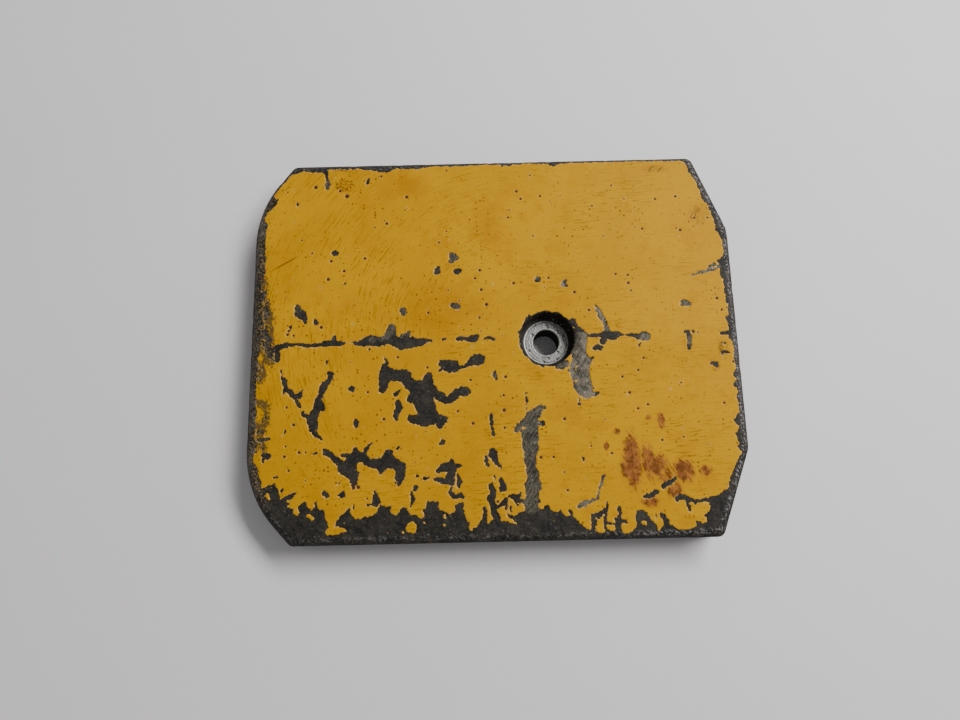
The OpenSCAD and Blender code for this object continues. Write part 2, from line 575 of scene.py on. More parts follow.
material, shader, place = finish_named("black_scale")
scraped = place.node("ShaderNodeAttribute", {"attribute_name": "scraped"}, out=2)
arris = place.node("ShaderNodeAttribute", {"attribute_name": "arris"}, out=2)
rusted = place.node("ShaderNodeAttribute", {"attribute_name": "rusted"}, out=2)
blotch = clouds(place, 4.5, 5)
fine = clouds(place, 0.8, 4, shift=30)
grit = clouds(place, 0.42, 2, shift=17)
scale_black = (blotch * 0.5 + fine * 0.5).ease(0.36, 0.68).tint((0.008, 0.007, 0.006), (0.042, 0.037, 0.028))
sanding = clouds(place, 0.55, 3, stretch=(11, 1, 1), turn=58, shift=5, rough=0.7)
lines = sanding * 0.50 + fine * 0.28 + blotch * 0.22
metal_grey = lines.ease(0.40, 0.62).tint((0.026, 0.023, 0.017), (0.135, 0.120, 0.088))
bare = (scraped * 1.25 + (fine - 0.5) * 0.9 + (blotch - 0.5) * 0.9).ease(0.32, 0.80)
across = place.node("ShaderNodeSeparateXYZ", {}, {0: place})
# Filed scratches on the arrises are real wear; towards the right end they are also lightened, as painted
# light on the side that faces the lamp
painted_lit_side = across.ease(20, 96)
file_marks = clouds(place, 0.75, 5, stretch=(4, 1, 1), turn=-32, shift=50, rough=0.75)
worn = file_marks * 0.6 + fine * 0.4
filed_and_lit = arris * worn.ease(0.49, 0.60) * (painted_lit_side * 0.65 + 0.30)
colour = bare.tint(scale_black, metal_grey)
by_hole = across.ease(24, 30) * (1 - across.ease(42, 50))
colour = (bare * by_hole * blotch.ease(0.40, 0.62) * 0.6).tint(colour, (0.20, 0.172, 0.130))
colour = (filed_and_lit * 0.9).tint(colour, (0.33, 0.315, 0.325))
rusty = clouds(place, 3.2, 4, shift=80).ease(0.58, 0.72) * 0.4
colour = rusty.tint(colour, (0.050, 0.026, 0.014))
glints = specks(place, 1.7, 0.42, 7) * (bare * 0.6 + arris * 0.5 + 0.2)
colour = (glints * 0.75).tint(colour, (0.36, 0.355, 0.33))
flecks = specks(place, 2.4, 0.5, 60) * clouds(place, 12, 2, shift=33).ease(0.48, 0.62)
colour = (flecks * 0.75).tint(colour, (0.26, 0.15, 0.02))
# The left end keeps paint in its pores, and the recess's wall has a few pale specks that are painted glints
upward = place.node("ShaderNodeSeparateXYZ", {}, {0: place}, out=2)
left_end = (0 - across).ease(89, 96) * upward.ease(14.5, 15.5)
colour = (left_end * fine.ease(0.50, 0.62) * 0.55).tint(colour, (0.34, 0.215, 0.055))
colour = (left_end * (grit * 0.5 + blotch * 0.5).ease(0.52, 0.62) * 0.55).tint(colour, (0.20, 0.185, 0.16))
flat_place = place.node("ShaderNodeVectorMath", {"operation": "MULTIPLY"}, {0: place, 1: (1, 1, 0)})
ends = {0: flat_place, 1: (HOLE_X, 0, 0)}
from_hole = flat_place.node("ShaderNodeVectorMath", {"operation": "DISTANCE"}, ends, out=1)
wall = 1 - from_hole.ease(RECESS_R + 0.3, RECESS_R + 1)
painted_wall_glints = specks(place, 1.6, 0.55, 23) * wall
colour = (painted_wall_glints * 0.5).tint(colour, (0.26, 0.25, 0.24))
# Under each pinhole the metal is red with rust
colour = rusted.tint(colour, (0.070, 0.018, 0.006))
rough_skin = blotch * 0.4 + fine + grit * 0.5 + lines * bare * 0.8
bump = place.node("ShaderNodeBump", {}, {"Strength": 0.8, "Distance": 0.14 * MM, "Height": rough_skin})
plug(
    shader,
    Base_Color=colour,
    Roughness=0.68 - bare * 0.16 - filed_and_lit * 0.15 - glints * 0.15,
    Metallic=bare * 0.45 + filed_and_lit * 0.3,
    Specular_IOR_Level=0.28,
    Normal=bump,
)
casting.data.materials.append(material)
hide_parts("marker_body")
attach(casting, "root")

# ---------------------------------------------------------------------------
# The anchor sleeve: a steel bush turned on a lathe and pressed into its seat.
# Its end face is scored by the bolt's washer and dulled by dirt.
# ---------------------------------------------------------------------------
SLEEVE_BORE_R = 5.25
SLEEVE_BEVEL = 0.5
TURNED_STEPS = 192


def sleeve_profile():
    """Radius and height down the section: the scored end face, the outside, the foot and the bore."""
    rng = np.random.default_rng(81)
    face = np.linspace(SLEEVE_BORE_R + SLEEVE_BEVEL, SEAT_R - SLEEVE_BEVEL, 34)
    scores = rng.uniform(-0.045, 0.0, len(face))
    scores[[0, -1]] = 0
    scores[np.abs(face - 8.65) < 0.08] = -0.25
    top = [(radius, FLOOR_Z + score) for radius, score in zip(face, scores)]
    outside = [(SEAT_R - 0.15, FLOOR_Z - 0.12), (SEAT_R, FLOOR_Z - SLEEVE_BEVEL), (SEAT_R, SLEEVE_BEVEL)]
    foot = [(SEAT_R - SLEEVE_BEVEL, 0), (SLEEVE_BORE_R + SLEEVE_BEVEL, 0)]
    bore = [(SLEEVE_BORE_R, height) for height in np.linspace(SLEEVE_BEVEL, FLOOR_Z - SLEEVE_BEVEL, 9)]
    return top + outside + foot + bore + [(SLEEVE_BORE_R + 0.15, FLOOR_Z - 0.13)]


def sleeve_mesh():
    profile = sleeve_profile()
    angles = np.arange(TURNED_STEPS) * 2 * math.pi / TURNED_STEPS
    rng = np.random.default_rng(82)
    nicks = []
    for angle in (62, 84, 88, 38, 30, 4, 352, 318, 300, 205, 262, 276, 120, 20, 45, 150):
        reach = rng.uniform(6.0, 9.2)
        turn = math.radians(angle)
        nicks.append((reach * math.cos(turn), reach * math.sin(turn), rng.uniform(0.35, 0.7), 0.4))
    points, rings = [], []
    for radius, height in profile:
        x, y = radius * np.cos(angles), radius * np.sin(angles)
        z = np.full(TURNED_STEPS, float(height))
        if height > FLOOR_Z - 1:
            z -= dents(x, y, nicks) + 0.02 * (1 + grain(x, y, 1.1, 83))
        rings.append(list(range(len(points) * TURNED_STEPS, (len(points) + 1) * TURNED_STEPS)))
        points.append(np.column_stack([x + HOLE_X, y, z]))
    faces = []
    for ring, following in zip(rings, rings[1:] + rings[:1]):
        faces += strip(following, ring)
    return mesh_of("turned_sleeve", np.concatenate(points), faces)


sleeve = sleeve_mesh()
sleeve.data.shade_smooth()
material, shader, place = finish_named("turned_steel")
centred = place.node("ShaderNodeVectorMath", {"operation": "SUBTRACT"}, {0: place, 1: (HOLE_X, 0, 0)})
parts = centred.node("ShaderNodeSeparateXYZ", {}, {0: centred})
flat_place = centred.node("ShaderNodeVectorMath", {"operation": "MULTIPLY"}, {0: centred, 1: (1, 1, 0)})
radius = flat_place.node("ShaderNodeVectorMath", {"operation": "LENGTH"}, {0: flat_place}, out=1)
around = parts.sum("ARCTAN2", place.node("ShaderNodeSeparateXYZ", {}, {0: centred}, out=1), parts)
polar = place.node("ShaderNodeCombineXYZ", {}, {0: radius, 1: around * 1.2, 2: 0.0})
rings = clouds(polar, 0.3, 3, rough=0.7)
dirt = clouds(place, 2.2, 4, shift=12)
grit = clouds(place, 0.5, 3, shift=40)
steel = (rings * 0.4 + grit * 0.6).ease(0.36, 0.64).tint((0.17, 0.165, 0.155), (0.42, 0.415, 0.40))
grime = (dirt.ease(0.52, 0.70) * 0.4).top(specks(place, 1.5, 0.45, 3) * 0.95)
colour = grime.tint(steel, (0.030, 0.027, 0.023))
# A painted highlight on the outer arris, brightest on its left side
highlight_side = (around.sum("ABSOLUTE", around)).ease(1.9, 2.9)
painted_highlight_rim = radius.ease(SEAT_R - 0.85, SEAT_R - 0.35) * (highlight_side * 0.75 + 0.2)
colour = painted_highlight_rim.tint(colour, (0.85, 0.83, 0.85))
# Inside the bore the steel is coloured near-black and dull: painted shade down the deep hole
bore_painted_shade = 1 - radius.ease(SLEEVE_BORE_R + 0.02, SLEEVE_BORE_R + 0.3)
colour = bore_painted_shade.tint(colour, (0.016, 0.014, 0.012))
turned_skin = rings * 0.6 + grit + dirt
bump = place.node("ShaderNodeBump", {}, {"Strength": 0.8, "Distance": 0.06 * MM, "Height": turned_skin})
plug(
    shader,
    Base_Color=colour,
    Roughness=0.42 + grime * 0.3 + bore_painted_shade * 0.3,
    Metallic=0.7 - grime * 0.5 - bore_painted_shade * 0.65,
    Normal=bump,
)
sleeve.data.materials.append(material)
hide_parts("anchor_sleeve")
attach(sleeve, "root")

# ---------------------------------------------------------------------------
# The yellow coat: thick traffic paint put on by brush. It has flaked off down
# to the black wherever the plate was knocked or dragged, along the crown and
# right along the near edge.
# ---------------------------------------------------------------------------
PAINT_T = 0.26
# Flakes, each a line of x, y and half-width
FLAKES = [
    # The row along the crown
    [
        (-89, -1, 0.9), (-87.5, -1, 0.9), (-85.5, -0.5, 1.2), (-82.5, -0.5, 0.6), (-79.5, -0.5, 0.6),
        (-76, -1, 0.8), (-72, -0.5, 0.8), (-69, 0, 1), (-65.5, 0, 1.4), (-63, -0.5, 0.8),
        (-61.5, 0, 0.4),
    ],
    [(-65.5, 1.5, 1), (-65.5, 3.5, 0.2)], [(-79.5, -2, 0.4)], [(-72, -1.8, 0.3)], [(-60, 0, 0.4)],
    [
        (-58, 0, 0.4), (-56, -0.5, 1), (-53, 0, 1.6), (-50, 0.5, 2.4), (-47, 0, 2.2), (-44, 0.5, 1.5),
        (-41.5, 0.5, 1.8), (-38, -0.5, 3), (-35, -0.5, 2.4), (-32, -0.5, 1.8), (-29, 0, 1.4),
        (-27, 0, 0.8), (-25, 0, 0.3),
    ],
    [(-44.5, 1.5, 1.2), (-42, 3, 2), (-42, 6, 1.6)], [(-37, 2, 1.5), (-35, 3.5, 1)], [(-51, -3, 0.5)],
    [(-21, 0.5, 0.3), (-20, 1, 0.6)],
    [(-15, 0.5, 0.8), (-11.5, 0.5, 0.9), (-8.5, 0.5, 1.4), (-7.5, 1, 1.2)],
    [(-4, 0.5, 0.4), (-2, 1, 0.9), (-0.5, 0.5, 0.7)], [(31.5, 7, 1.3), (33, 5.5, 1.2)],
    [
        (34, 2.5, 2), (37, 1, 1.2), (38.5, 1, 0.6), (40.5, 1, 0.9), (43, 1, 0.8), (45.5, 1, 1.8),
        (47.5, 0.5, 2.1), (50, 1, 1.5), (52.5, 0.5, 0.3),
    ],
    [(44, -2, 1.4)], [(40.5, -4.5, 0.7), (42, -4, 1.3), (43, -4.5, 0.8)],
    [(46, 3.5, 1), (45, 6, 0.9), (43.5, 9.5, 0.9), (42.5, 12, 0.7), (41.5, 13.5, 0.3)],
    [(53.5, 0.5, 0.3), (56, 0.5, 0.6), (58.5, 0, 1.3), (61, 0, 1.7), (62, -0.5, 1.4)],
    [(59, -2.5, 0.6), (58.5, -4.5, 0.4)],
    [(77.5, 1.5, 0.3), (79, 1.5, 0.5), (79, -1, 0.9), (79, -5.5, 0.8)], [(81, 2, 0.5), (81, 1, 0.4)],
    [(83, 1, 0.4)], [(92, 0.5, 0.6), (94, 0.5, 0.8), (97, 0.5, 1)],
    [(92, -3.5, 0.4), (93.5, -3.5, 0.3)], [(92, -8, 0.5), (92.5, -7, 0.5), (94.5, -7.5, 0.3)],
    [(92.5, -9.5, 0.4)], [(87, -12, 0.5), (89.5, -12, 0.6), (89.5, -13.5, 0.5)],
    # The rub beside the hole
    [
        (34.5, 1, 2.8), (34.5, -3, 2.8), (34, -7, 3), (34.5, -10, 3.8), (34, -14, 4), (34.5, -18, 3.8),
        (35.5, -21, 3.3), (36.5, -23, 2),
    ],
    [(38.5, -9.5, 0.9), (39.5, -8.5, 0.4)], [(38, -23.5, 0.9), (40.5, -23, 0.9)],
    [(28.5, -10.5, 1.5), (25.5, -12, 1.3)], [(29.5, -13.5, 0.6)],
    [(33.5, -24.5, 0.4), (33.5, -27.5, 0.5)], [(10.5, 2.5, 0.9)], [(10.5, -2, 0.8), (11, -3.5, 0.5)],
    [(13, 7, 0.9), (14.5, 9.5, 0.8)], [(19, -11.5, 0.6)],
    # Thin cracks that meet at the left
    [(-88.5, -2, 1), (-88, -6.5, 1.1)],
    [
        (-86.5, -11, 0.3), (-86, -13.5, 0.4), (-85, -16, 1), (-84.5, -18.5, 1.1), (-83.5, -19, 0.9),
        (-82, -21, 1), (-80.5, -22, 1), (-79, -21, 1.3), (-78, -19, 0.3),
    ],
    [(-85, -19, 0.6), (-85.5, -20.5, 0.4)],
    [(-80, -23.5, 0.8), (-79.5, -25, 0.7), (-78.5, -26.5, 0.5)],
    [(-77.5, -28.5, 0.7), (-76, -30, 0.8), (-74.5, -31, 1.4)],
    [
        (-67.5, -12.5, 0.7), (-66.5, -13, 1.1), (-67, -15, 1), (-69, -17.5, 1.7), (-69.5, -19, 1.4),
        (-70.5, -21, 1), (-71.5, -23, 1.4), (-71.5, -25, 1.6), (-72, -27.5, 1.8), (-73, -29.5, 2.2),
        (-73.5, -31.5, 2.3), (-73, -34, 1.8), (-72.5, -36.5, 1.1), (-70.5, -38.5, 0.5),
        (-69.5, -39.5, 0.2),
    ],
    [(-71, -24.5, 1), (-69.5, -25.5, 0.8), (-69.5, -27, 0.9)], [(-68, -7.5, 0.4), (-68.5, -8.5, 0.4)],
    # The big patch left of the middle
    [
        (-45.5, -6, 0.3), (-44, -8.5, 0.6), (-45, -11, 1.8), (-44.5, -14, 2.5), (-45, -17, 2),
        (-45.5, -19.5, 1.8),
    ],
    [(-43, -13.5, 2.6), (-39, -14, 2.5), (-36, -13.5, 1.8)],
    [
        (-37, -14.5, 1.8), (-34, -18, 2.5), (-31, -20, 4), (-29.5, -24, 4.4), (-28, -28, 3.8),
        (-27, -31, 3.5),
    ],
    [(-27, -15, 1.6), (-27.5, -18, 2.8)], [(-34.5, -23.5, 1.6), (-32, -24.5, 2)],
    [(-34.5, -31.5, 1.4), (-31, -32, 2.2), (-28, -32.5, 2.5)],
    [(-24.5, -31.5, 1.8), (-22, -32.5, 2.4), (-22.5, -34.5, 1.5)],
    [
        (-25.5, -20.5, 2), (-23, -22.5, 2), (-20, -24.5, 1.2), (-17.5, -23.5, 1.8), (-15, -21.5, 1.8),
        (-12, -21, 1.9),
    ],
    [(-10.5, -16.5, 0.6)], [(-39, -20.5, 0.6), (-40.5, -22, 0.8)],
    [(-39.5, -25, 1), (-39, -27, 1.3), (-40, -29, 1.1), (-40, -31, 1)],
    [
        (-22, -9.5, 1.3), (-19.5, -10.5, 2.6), (-17, -11, 2.5), (-14.5, -11.5, 1), (-12.5, -11, 0.6),
        (-10.5, -9.5, 1.3), (-8.5, -8.5, 2), (-6, -8, 2),
    ],
    [(-22, -12, 0.8)], [(-0.5, -14, 0.9), (0, -16.5, 0.3)],
    # Patches and cracks lower down
    [(-68, -44, 1.4), (-65, -46, 1.3), (-62.5, -48.5, 1.4), (-61, -51, 2), (-59, -53, 1.6)],
    [(-62, -45.5, 0.5), (-59.5, -45.5, 1), (-57, -46.5, 2.2), (-54, -46.5, 1.9), (-52, -47, 1.5)],
    [(-56.5, -42.5, 0.5), (-56, -44.5, 1.5)], [(-53, -45, 0.9), (-51, -42.5, 0.6), (-50, -41, 0.4)],
    [(-58.5, -49, 2.6), (-58, -52, 2.8), (-57, -54.5, 1.8), (-57, -57, 0.8), (-57, -58.5, 0.3)],
    [(-55.5, -53, 1), (-55.5, -55, 0.6)],
    [
        (-52, -48, 1.3), (-49, -49, 2), (-46, -49, 2.6), (-43, -48.5, 2.8), (-40.5, -49.5, 2),
        (-38, -50.5, 2),
    ],
    [(-43, -45, 1.6), (-43.5, -46.5, 2)], [(-46, -51.5, 1.2), (-46, -53, 0.5)],
    [(-38.5, -52, 2.2), (-38.5, -54.5, 2), (-38.5, -56.5, 1), (-39.5, -58, 0.3)],
    [(-18.5, -48.5, 0.8), (-18.5, -50.5, 2.4), (-21, -51, 1.8), (-23.5, -52.5, 1)],
    [(-16.5, -50.5, 0.9), (-14.5, -50.5, 0.4)],
    [(-18.5, -53, 1.7), (-19, -55.5, 1.7), (-18.5, -57, 1.4)],
    [(-24.5, -56, 1), (-21.5, -56.5, 1.1), (-19, -56.5, 1.2)],
    [(-16, -54, 0.4), (-15.5, -56.5, 1), (-15.5, -58.5, 0.8)],
    [(-18.5, -59, 0.5), (-19, -61, 0.7), (-17, -62.5, 0.9), (-15, -62, 0.9), (-14, -63, 0.5)],
    [(-22, -39.5, 0.3), (-21.5, -41, 0.9), (-22.5, -42, 0.5)], [(-32, -54, 0.7)],
    [(-29.5, -55, 0.5), (-28, -55, 0.6)], [(-32.5, -59, 1.2)],
    [(-34, -61, 0.4), (-33.5, -63.5, 0.8), (-34.5, -66.5, 0.4)],
    [(-48.5, -60, 0.6), (-48, -62.5, 1.5), (-48, -64, 1.6)], [(-51.5, -65, 0.3), (-49, -64.5, 0.5)],
    [(-39, -42.5, 0.4), (-39.5, -43.5, 0.4)],
    [(-2, -31, 0.6), (-2, -34, 0.8), (-2, -36, 0.3), (-1.5, -39, 0.8)],
    [(-2, -44.5, 0.8), (-2, -46, 1.7), (-1, -49, 1), (0.5, -51, 0.5), (1.5, -52, 0.2)],
    [(-4.5, -47, 0.5), (-4.5, -50, 0.7), (-3.5, -51, 0.4)], [(-1.5, -55.5, 0.4), (-1.5, -56.5, 0.4)],
    [(1, -56, 0.5), (1.5, -58, 1.2), (1.5, -60, 1.3), (2.5, -60.5, 0.4)],
    [(-3, -58.5, 0.9), (-2.5, -61, 1.4), (-3, -64, 1.3), (-2, -67, 1.3), (-1.5, -70, 1.2)],
    [(-0.5, -67, 0.6), (2, -65.5, 1.1), (3, -64, 0.8)], [(2.5, -67.5, 0.5)],
    [(4.5, -63, 0.6), (6.5, -63, 0.8), (8, -62.5, 0.8)], [(6.5, -64, 0.8), (9.5, -65, 1)],
    [(4.5, -65.5, 0.3), (4.5, -68.5, 0.3)], [(7, -66, 0.4)],
    # The drag mark
    [
        (17.5, -28, 1), (16.5, -29.5, 1.8), (14, -32, 2.6), (13, -35, 3.3), (13, -38, 3.4),
        (13, -41, 3.3), (13, -44.5, 2.9), (13, -48, 2.4), (13, -51.5, 2), (13.5, -55, 2.4),
        (13.5, -58.5, 3), (13, -62, 2.5), (12.5, -65, 2.3), (13, -69, 3),
    ],
    [(19, -28.5, 0.8)], [(11, -34, 1.5), (9, -35.5, 1.3), (7, -37.5, 0.5)],
    [(15.5, -34.5, 0.9), (18, -34.5, 0.7)], [(16, -60, 0.8)], [(15.5, -65, 0.7)],
    [(12, -22, 0.15), (12, -29, 0.2)],
    # Cuts at the right and near the front
    [
        (41.5, -56, 0.5), (40, -59, 0.5), (39, -62, 0.4), (38.5, -64.5, 0.5), (35, -65.5, 0.6),
        (33, -66.5, 1.1), (31, -67.5, 0.5),
    ],
    [(57, -64, 0.8), (59.5, -63.5, 1.1), (61.5, -62.5, 0.9)],
    [(64.5, -60.5, 1), (67, -59, 1), (69, -57.5, 0.8)],
    [
        (69.5, -65, 1.1), (71.5, -64.5, 1), (74, -65, 0.8), (76, -66, 0.8), (78.5, -66, 0.5),
        (81, -65.5, 0.7), (84, -65.5, 1), (88, -65, 2), (90, -64, 2),
    ],
    [(73.5, -66, 0.5), (74, -69.5, 0.6)], [(76, -67, 0.4)],
    [(63, -70.5, 0.7), (64, -72, 0.9), (65, -74, 0.9)], [(61, -71.5, 0.4), (61, -73.5, 0.3)],
    [(46.5, -68.5, 0.9), (47, -70.5, 0.6), (46.5, -72, 1.1), (46, -76.5, 1.2)], [(45, -72.5, 0.7)],
    [(46.5, -73.5, 0.7), (49, -73.5, 0.6)], [(33.5, -48.5, 0.4), (34, -49.5, 0.4)],
    [(27.5, -68.5, 0.4), (28, -70.5, 0.6)],
    # The arch at the front edge
    [(36.5, -71, 1), (36.5, -75.5, 0.9)], [(36.5, -71, 0.9), (39.5, -70, 1), (41.5, -69, 0.9)],
    [(42, -65.5, 0.25), (42, -68, 0.5)], [(41.5, -70, 0.6), (41, -73, 0.5), (41, -75.5, 0.6)],
    [(38.5, -71.5, 0.8)], [(42, -74, 0.5), (44.5, -74, 0.3)],
    # Chips in the upper half
    [(-81, 15.5, 1.2), (-80.5, 13, 1.8), (-79, 12.5, 2), (-77.5, 11, 1.2), (-77.5, 9, 0.7)],
    [(-73, 9, 1.2)], [(-83, 7.5, 0.4), (-84, 5.5, 0.4)], [(-37.5, 13.5, 1.4), (-37.5, 12, 1.2)],
    [(-23, 31, 1.1), (-23.5, 29.5, 1.1)], [(-15, 29.5, 1.2), (-14, 30, 1.2)],
    [(-17, 37, 1.2), (-16, 36, 1.5), (-17.5, 34, 0.9)],
    [(-17, 15, 1.2), (-15.5, 14.5, 1.4), (-14.5, 14, 0.9)], [(-66.5, 39.5, 1.1), (-65.5, 39, 1.1)],
    [(18.5, 25.5, 1.2)], [(30, 24.5, 0.7), (29, 23, 1.1), (30, 22.5, 0.9)],
    [(78, 14, 1.3), (79.5, 13.5, 1.3), (80.5, 13, 0.8)],
    [(82.5, 25.5, 0.4), (85, 26.5, 0.6), (88.5, 27.5, 0.6), (92, 28.5, 0.5), (94.5, 29.5, 0.5)],
    [(90.5, 29.5, 0.6), (92, 30.5, 0.6)], [(95, 31.5, 1.5)],
    [(-71.5, 77.5, 1.2), (-70.5, 75, 0.5), (-70.5, 73, 0.4), (-70, 71, 1.2), (-70, 69, 0.9)],
    [(-52.5, 72.5, 0.6), (-53, 70.5, 0.6)], [(-82.5, 62, 0.5), (-82.5, 61, 0.5)], [(-61, 37.5, 0.4)],
    # Single chips lower down
    [(-58, -19, 1.2)], [(-56, -32.5, 1.2), (-56, -33.5, 1.2)], [(-68.5, -60, 0.9), (-67.5, -61, 0.9)],
    [(-61, -59.5, 0.6), (-61.5, -61, 1)], [(-85, -58.5, 0.8)],
    [(-62.5, -56, 0.5), (-63.5, -57.5, 0.2)], [(-56.5, -64.5, 0.3), (-57, -66, 0.3)],
    [(-73, -44.5, 0.5), (-71.5, -44.5, 0.5)], [(-88.5, -53.5, 0.3), (-86.5, -53, 0.3)],
    [(-84, -62.5, 1), (-82, -61.5, 0.9), (-79.5, -59.5, 0.5)],
    [(-94.5, -38.5, 0.8), (-92.5, -38.5, 0.8), (-91, -38, 0.7)],
    [(-92, -44.5, 1.3), (-90, -45, 0.8), (-92.5, -46.5, 0.8), (-92.5, -47.5, 0.4)],
    [(-84.5, -35.5, 0.4), (-85, -37, 0.4)],
]
# The outer edge of the coat, clockwise from the far left corner. Along the near side it is all tatters
COAT_EDGE = [
    (-93, 66), (-90.5, 69.5), (-88, 73), (-86.5, 75), (-84, 76), (-80, 77.5), (-78, 76.5), (-73, 76.5),
    (-70, 77.5), (-66, 78), (-62, 77.5), (-60, 78), (-52, 77), (-50, 77), (-48, 76), (-43, 76),
    (-41.5, 77.5), (-37, 77.5), (-31, 77), (-27.5, 78), (-13, 78), (-2, 78.5), (4.5, 78.5), (5, 77.5),
    (9, 77.5), (9.5, 78.5), (25, 78.5), (26.5, 77.5), (28.5, 77), (30.5, 78), (38, 78.5), (60, 78.5),
    (72, 78.5), (79.5, 78), (83, 78.5), (84.5, 76), (85.5, 73), (87.5, 70), (88.5, 66), (89.5, 64),
    (89.5, 61.5), (91, 58.5), (92, 58), (92.5, 55.5), (94, 51), (94.5, 45.5), (96, 44), (96.5, 40),
    (97, 35.5), (95, 33), (94, 31), (94.5, 28), (95.5, 23), (95.5, 17), (96, 12.5), (96, 8.5),
    (94.5, 7), (95.5, 2.5), (95, -0.5), (97, -4), (96.5, -8.5), (97, -14), (95.5, -16.5), (97, -18.5),
    (95, -20.5), (97, -22), (97, -24), (96, -26), (97, -28.5), (97, -31.5), (95, -33.5), (94, -35),
    (95.5, -36.5), (96, -38.5), (94.5, -41), (96, -44), (95, -45.5), (96, -46.5), (96, -48.5),
    (94.5, -50.5), (93, -54), (91.5, -56), (90.5, -58.5), (90, -60), (89, -62.5), (86, -64.5),
    (82.5, -65), (80.5, -66.5), (82, -68), (82.5, -69), (81, -70.5), (79.5, -71.5), (80.5, -73.5),
    (79, -74.5), (76.5, -74), (75.5, -76), (73, -77), (69.5, -77), (67, -76), (65.5, -74), (64, -74.5),
    (62.5, -76.5), (61, -77), (60.5, -75), (58.5, -72.5), (56.5, -69.5), (55.5, -69), (53.5, -69.5),
    (53, -72), (53.5, -75.5), (52, -77), (49.5, -78), (47.5, -78), (47, -76), (44.5, -76.5),
    (41, -76.5), (40.5, -77.5), (38, -77.5), (36.5, -76), (35, -76.5), (33.5, -75.5), (31, -74),
    (29.5, -71.5), (28, -70.5), (26, -71), (24.5, -69.5), (23.5, -68), (22, -69.5), (20, -68.5),
    (19, -66.5), (18, -66.5), (17, -67.5), (15.5, -68.5), (14.5, -66.5), (10.5, -65.5), (11, -67),
    (10, -68.5), (8, -69), (7, -70), (5, -70), (2.5, -69), (3.5, -70.5), (6, -72), (6.5, -73.5),
    (3.5, -72.5), (0.5, -72), (0, -70), (-2.5, -70.5), (-3.5, -72), (-4.5, -73.5), (-5, -71.5),
    (-4.5, -69), (-5.5, -65.5), (-6.5, -71), (-7.5, -71.5), (-8.5, -74), (-10, -74.5), (-11, -75.5),
    (-12, -74.5), (-11.5, -72), (-13, -71), (-13.5, -68), (-14, -65), (-17, -65), (-17, -67.5),
    (-18.5, -68.5), (-20, -69), (-21.5, -68), (-23.5, -67.5), (-24, -66), (-23, -64.5), (-28, -64),
    (-28.5, -67), (-32, -69), (-34, -69.5), (-35.5, -68), (-36, -66.5), (-37, -66), (-38.5, -66.5),
    (-39, -68.5), (-41, -69), (-42, -68), (-42.5, -65), (-44, -66), (-46.5, -65.5), (-48, -68.5),
    (-50.5, -69), (-53.5, -70), (-56, -70), (-58, -68), (-59, -65.5), (-60, -67.5), (-62, -69),
    (-63, -71), (-64, -73), (-61.5, -73.5), (-60, -73.5), (-59, -75), (-61, -75.5), (-63.5, -76),
    (-66.5, -76), (-67.5, -75), (-66.5, -73), (-66.5, -71.5), (-67.5, -70), (-68, -67.5), (-69, -66),
    (-70.5, -67), (-71, -63), (-72, -65.5), (-73.5, -67), (-75, -64.5), (-76, -63), (-78, -64.5),
    (-78.5, -66), (-77.5, -67.5), (-78.5, -68.5), (-80, -68), (-80, -66), (-81.5, -65.5), (-83, -65),
    (-82, -64), (-84, -62), (-86, -62.5), (-86, -60.5), (-87, -58), (-87.5, -56), (-89.5, -56.5),
    (-92.5, -57.5), (-93.5, -54), (-94.5, -51), (-96.5, -47.5), (-96.5, -45), (-95, -43.5), (-96, -40),
    (-96, -30), (-96.5, -16), (-96, -10), (-95.5, 0), (-95, 10), (-95.5, 20), (-96, 26), (-95, 31),
    (-95, 37), (-95.5, 44), (-95, 51), (-95.5, 53.5), (-96.5, 55.5), (-95.5, 58), (-94, 59),
    (-92.5, 61), (-91.5, 62.5), (-91, 64), (-92.5, 64.5),
]
# Places along the left end that are rubbed to a mottle of paint and scale
RUBBED = [
    [(-95.5, 28, 1.2), (-95, 20, 1.6), (-93.5, 12, 2.2), (-93, 4, 2.4), (-92.5, -2, 2.4)],
    [(-92, -4, 2), (-91, -7, 1.8)], [(-95, -9, 1.8), (-95, -14, 1.6)],
    [(-95, -24, 1), (-91.5, -24.5, 0.9)], [(-92, -26, 0.9), (-92, -31, 1)],
    [(-94.5, -33, 1.6), (-94, -36, 1.4)], [(-95.5, -40, 1.5), (-93, -41.5, 1.2)],
]
# Islands of paint that still hold inside the bare strip
ISLANDS = [
    [(-90.5, -60.5, 0.9), (-90, -61.5, 0.6)], [(-74, -68.5, 0.8), (-73, -69.5, 1)],
    [(-35.5, -74.5, 1), (-34, -73, 1.6), (-33.5, -75, 1.2)], [(-37.5, -76, 0.5)], [(-30.5, -69, 1.2)],
    [(-29.5, -72, 0.4), (-28.5, -72.5, 0.3)], [(-21.5, -69, 0.5), (-21, -70.5, 0.4)],
    [(-21.5, -73, 0.5)], [(56, -74, 1)], [(10.5, -36.5, 0.6)], [(-0.5, -64.5, 1.1)], [(5, -65.5, 0.8)],
    [(32.5, -12.5, 0.3), (32.5, -13.5, 0.3)], [(32, -18, 0.5)],
]


def polygon_gap(x, y, points):
    """Distance to a closed outline, negative inside it."""
    away = np.full(np.shape(x), 1e3)
    crossed = np.zeros(np.shape(x), bool)
    for (ax, ay), (bx, by) in zip(points, points[1:] + points[:1]):
        length = (bx - ax) ** 2 + (by - ay) ** 2
        share = np.clip(((x - ax) * (bx - ax) + (y - ay) * (by - ay)) / length, 0, 1)
        away = np.minimum(away, np.hypot(x - ax - share * (bx - ax), y - ay - share * (by - ay)))
        if ay != by:
            spans = (ay > y) != (by > y)
            crossed ^= spans & (x < (bx - ax) * (y - ay) / (by - ay) + ax)
    return np.where(crossed, -away, away)


